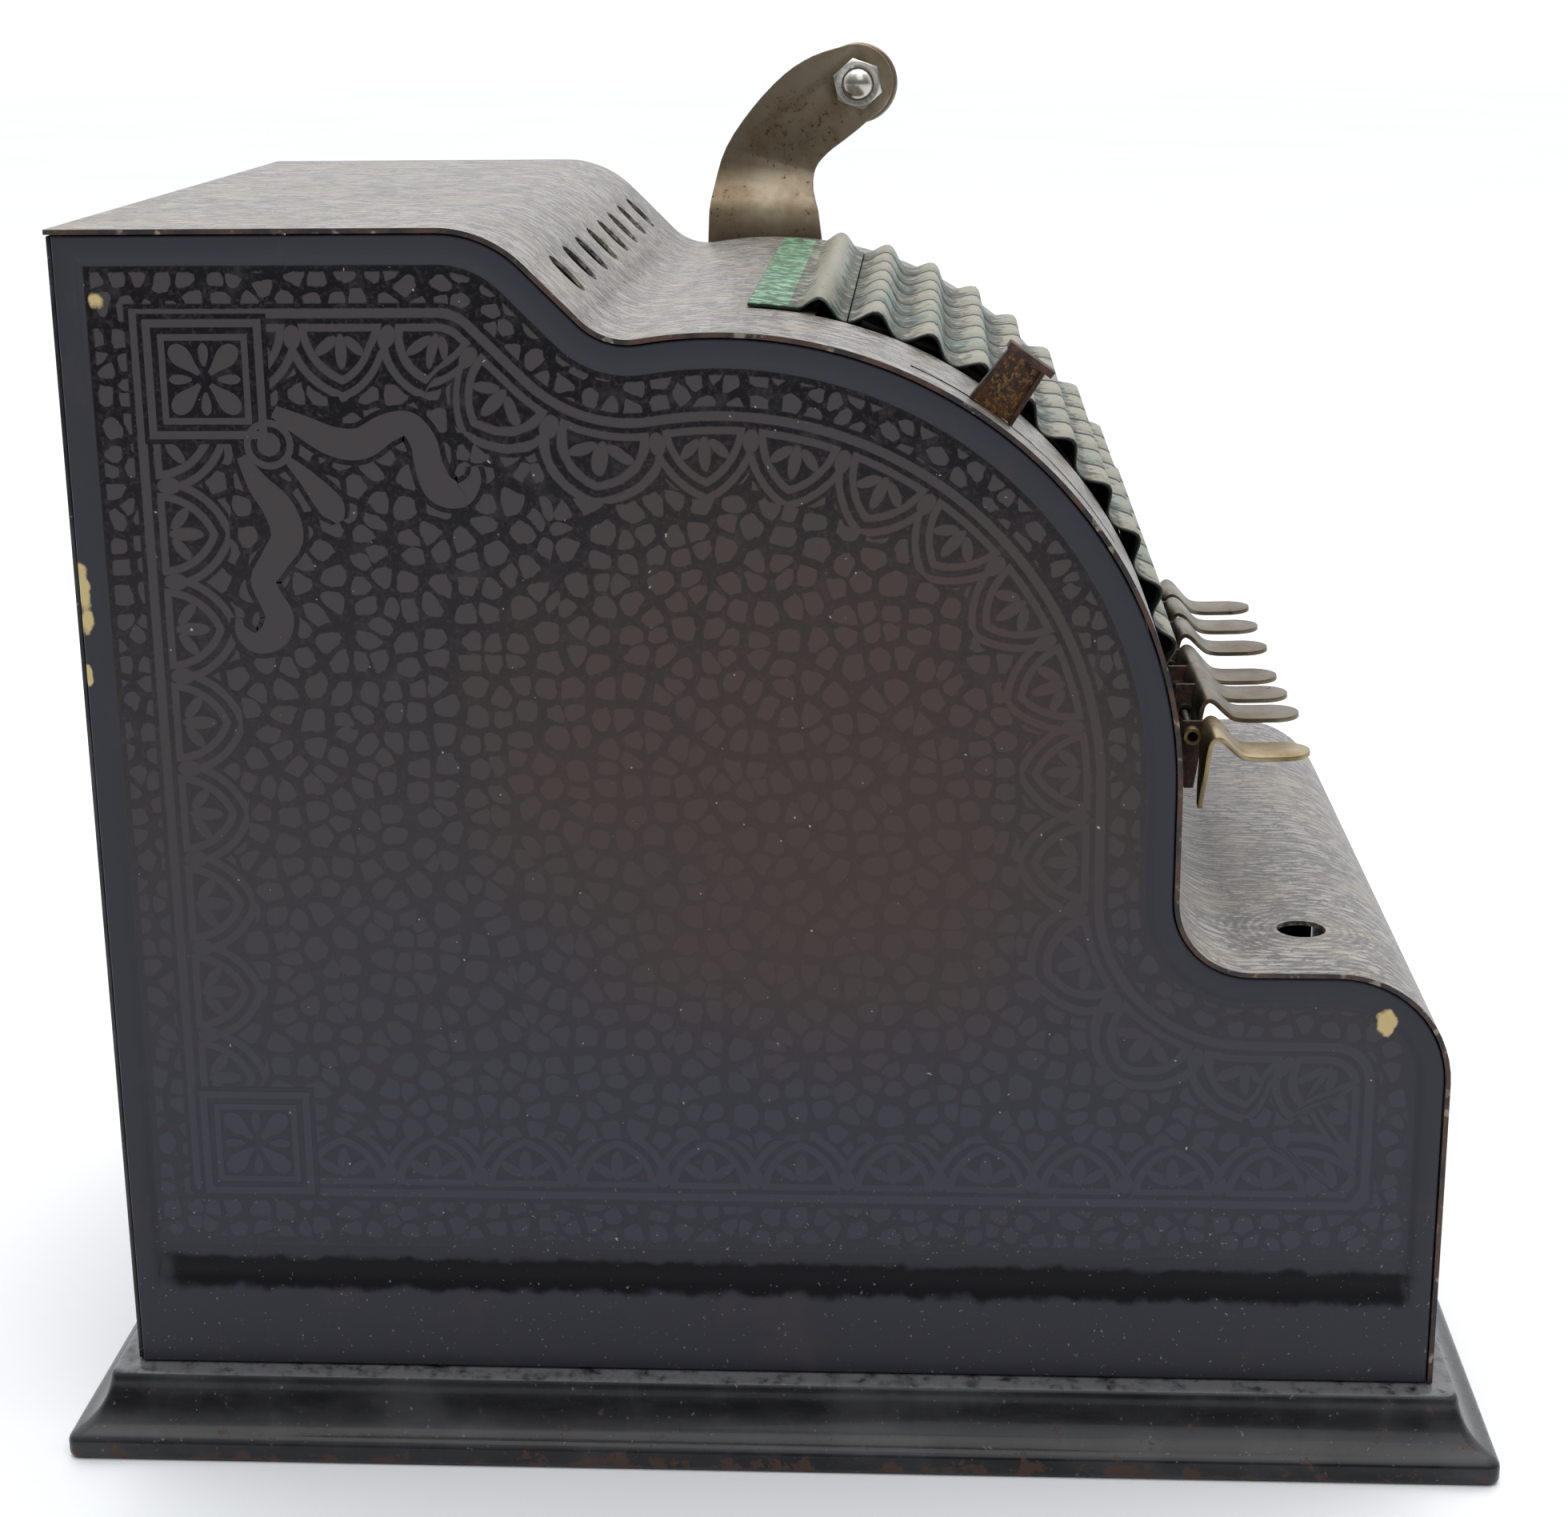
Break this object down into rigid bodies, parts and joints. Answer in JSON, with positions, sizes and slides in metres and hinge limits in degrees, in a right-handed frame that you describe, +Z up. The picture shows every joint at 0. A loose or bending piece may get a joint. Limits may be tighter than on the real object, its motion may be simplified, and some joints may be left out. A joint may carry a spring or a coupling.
{
  "type": "crank adding machine",
  "caption": "Crank adding machine in a cash-register-shaped sheet metal case, with corrugated pull-down slides, number windows, release keys and a hand crank.",
  "frame": {"origin": "on the floor, under the middle of the case", "axes": "+Z up, -Y towards the user, +X towards the crank side"},
  "size_m": [0.3001, 0.306, 0.2891],
  "materials": {
    "cover_enamel": "dusty worn black enamel with a fine embossed grain",
    "side_enamel": "matte printed pebble ornament over glossy black enamel",
    "plinth_enamel": "glossy black enamel, chipped and rust-specked",
    "green_enamel": "worn pale green enamel under dust",
    "crank_nickel": "aged nickel plate with rust spots",
    "key_nickel": "yellowed nickel plate",
    "dark_steel": "oiled dark steel",
    "rusted_steel": "rusted sheet steel",
    "wheel_white": "aged white number drums",
    "grip_wood": "dark stained turned wood"
  },
  "bodies": {
    "case": {"base_plinth": "plinth_enamel", "bottom_plate": "dark_steel", "left_side_panel": "side_enamel", "right_side_panel": "side_enamel", "top_cover": "cover_enamel", "back_panel": "side_enamel", "keyboard_top_plate": "green_enamel", "left_frame": "dark_steel", "right_frame": "dark_steel", "front_tie_rod": "dark_steel", "rear_tie_rod": "dark_steel", "detent_comb": "dark_steel", "dial_shaft": "dark_steel", "key_rod": "dark_steel", "middle_key_bracket": "dark_steel", "right_key_bracket": "dark_steel", "crank_spring": "dark_steel", "back_screw_1": "dark_steel", "back_screw_2": "dark_steel", "back_screw_3": "dark_steel", "back_screw_4": "dark_steel"},
    "crank": {"main_shaft": "dark_steel", "crank_arm": "crank_nickel", "crank_hub": "crank_nickel", "crank_shaft_nut": "crank_nickel", "crank_bolt": "crank_nickel", "crank_nut": "crank_nickel"},
    "grip": {"grip_ferrule": "crank_nickel", "crank_grip": "grip_wood"},
    "slide_1": {"slide_strip_1": "green_enamel", "slide_sector_1": "dark_steel"},
    "slide_2": {"slide_strip_2": "green_enamel", "slide_sector_2": "dark_steel"},
    "slide_3": {"slide_strip_3": "green_enamel", "slide_sector_3": "dark_steel"},
    "slide_4": {"slide_strip_4": "green_enamel", "slide_sector_4": "dark_steel"},
    "slide_5": {"slide_strip_5": "green_enamel", "slide_sector_5": "dark_steel"},
    "slide_6": {"slide_strip_6": "green_enamel", "slide_sector_6": "dark_steel"},
    "slide_7": {"slide_strip_7": "green_enamel", "slide_sector_7": "dark_steel"},
    "key_1": {"finger_key_1": "key_nickel"},
    "key_2": {"finger_key_2": "key_nickel"},
    "key_3": {"finger_key_3": "key_nickel"},
    "key_4": {"finger_key_4": "key_nickel"},
    "key_5": {"finger_key_5": "key_nickel"},
    "key_6": {"finger_key_6": "key_nickel"},
    "key_7": {"finger_key_7": "key_nickel"},
    "counter_1": {"number_wheel_1": "wheel_white"},
    "counter_2": {"number_wheel_2": "wheel_white"},
    "counter_3": {"number_wheel_3": "wheel_white"},
    "counter_4": {"number_wheel_4": "wheel_white"},
    "counter_5": {"number_wheel_5": "wheel_white"},
    "counter_6": {"number_wheel_6": "wheel_white"},
    "counter_7": {"number_wheel_7": "wheel_white"},
    "counter_8": {"number_wheel_8": "wheel_white"},
    "lever": {"side_lever": "rusted_steel"}
  },
  "joints": [
    {"name": "crank_turn", "type": "hinge", "parent": "case", "child": "crank", "pos_m": [0, 0.0096, 0.1475], "axis": [1, 0, 0], "range_deg": [0, 80], "stiffness_Nm_per_rad": 0.5, "springref_deg": -28.65},
    {"name": "grip_spin", "type": "hinge", "parent": "crank", "child": "grip", "pos_m": [0.15, -0.0125, 0.2788], "axis": [1, 0, 0], "continuous": true},
    {"name": "slide_1_pull", "type": "hinge", "parent": "case", "child": "slide_1", "pos_m": [0, 0.0096, 0.1475], "axis": [1, 0, 0], "range_deg": [0, 66.15]},
    {"name": "slide_2_pull", "type": "hinge", "parent": "case", "child": "slide_2", "pos_m": [0, 0.0096, 0.1475], "axis": [1, 0, 0], "range_deg": [0, 66.15]},
    {"name": "slide_3_pull", "type": "hinge", "parent": "case", "child": "slide_3", "pos_m": [0, 0.0096, 0.1475], "axis": [1, 0, 0], "range_deg": [0, 66.15]},
    {"name": "slide_4_pull", "type": "hinge", "parent": "case", "child": "slide_4", "pos_m": [0, 0.0096, 0.1475], "axis": [1, 0, 0], "range_deg": [0, 66.15]},
    {"name": "slide_5_pull", "type": "hinge", "parent": "case", "child": "slide_5", "pos_m": [0, 0.0096, 0.1475], "axis": [1, 0, 0], "range_deg": [0, 66.15]},
    {"name": "slide_6_pull", "type": "hinge", "parent": "case", "child": "slide_6", "pos_m": [0, 0.0096, 0.1475], "axis": [1, 0, 0], "range_deg": [0, 66.15]},
    {"name": "slide_7_pull", "type": "hinge", "parent": "case", "child": "slide_7", "pos_m": [0, 0.0096, 0.1475], "axis": [1, 0, 0], "range_deg": [0, 66.15]},
    {"name": "key_1_press", "type": "hinge", "parent": "case", "child": "key_1", "pos_m": [-0.0482, -0.0902, 0.144], "axis": [1, 0, 0], "range_deg": [0, 8], "stiffness_Nm_per_rad": 0.03, "springref_deg": -20.05},
    {"name": "key_2_press", "type": "hinge", "parent": "case", "child": "key_2", "pos_m": [-0.02775, -0.0902, 0.144], "axis": [1, 0, 0], "range_deg": [0, 8], "stiffness_Nm_per_rad": 0.03, "springref_deg": -20.05},
    {"name": "key_3_press", "type": "hinge", "parent": "case", "child": "key_3", "pos_m": [-0.0073, -0.0902, 0.144], "axis": [1, 0, 0], "range_deg": [0, 8], "stiffness_Nm_per_rad": 0.03, "springref_deg": -20.05},
    {"name": "key_4_press", "type": "hinge", "parent": "case", "child": "key_4", "pos_m": [0.01315, -0.0902, 0.144], "axis": [1, 0, 0], "range_deg": [0, 8], "stiffness_Nm_per_rad": 0.03, "springref_deg": -20.05},
    {"name": "key_5_press", "type": "hinge", "parent": "case", "child": "key_5", "pos_m": [0.0336, -0.0902, 0.144], "axis": [1, 0, 0], "range_deg": [0, 8], "stiffness_Nm_per_rad": 0.03, "springref_deg": -20.05},
    {"name": "key_6_press", "type": "hinge", "parent": "case", "child": "key_6", "pos_m": [0.05405, -0.0902, 0.144], "axis": [1, 0, 0], "range_deg": [0, 8], "stiffness_Nm_per_rad": 0.03, "springref_deg": -20.05},
    {"name": "key_7_press", "type": "hinge", "parent": "case", "child": "key_7", "pos_m": [0.0745, -0.0902, 0.144], "axis": [1, 0, 0], "range_deg": [0, 8], "stiffness_Nm_per_rad": 0.03, "springref_deg": -20.05},
    {"name": "counter_1_turn", "type": "hinge", "parent": "case", "child": "counter_1", "pos_m": [-0.06865, 0.05665, 0.23393], "axis": [1, 0, 0], "continuous": true},
    {"name": "counter_2_turn", "type": "hinge", "parent": "case", "child": "counter_2", "pos_m": [-0.0482, 0.05665, 0.23393], "axis": [1, 0, 0], "continuous": true},
    {"name": "counter_3_turn", "type": "hinge", "parent": "case", "child": "counter_3", "pos_m": [-0.02775, 0.05665, 0.23393], "axis": [1, 0, 0], "continuous": true},
    {"name": "counter_4_turn", "type": "hinge", "parent": "case", "child": "counter_4", "pos_m": [-0.0073, 0.05665, 0.23393], "axis": [1, 0, 0], "continuous": true},
    {"name": "counter_5_turn", "type": "hinge", "parent": "case", "child": "counter_5", "pos_m": [0.01315, 0.05665, 0.23393], "axis": [1, 0, 0], "continuous": true},
    {"name": "counter_6_turn", "type": "hinge", "parent": "case", "child": "counter_6", "pos_m": [0.0336, 0.05665, 0.23393], "axis": [1, 0, 0], "continuous": true},
    {"name": "counter_7_turn", "type": "hinge", "parent": "case", "child": "counter_7", "pos_m": [0.05405, 0.05665, 0.23393], "axis": [1, 0, 0], "continuous": true},
    {"name": "counter_8_turn", "type": "hinge", "parent": "case", "child": "counter_8", "pos_m": [0.0745, 0.05665, 0.23393], "axis": [1, 0, 0], "continuous": true},
    {"name": "lever_shift", "type": "hinge", "parent": "case", "child": "lever", "pos_m": [0, 0.0096, 0.1475], "axis": [1, 0, 0], "range_deg": [-8, 20]}
  ]
}
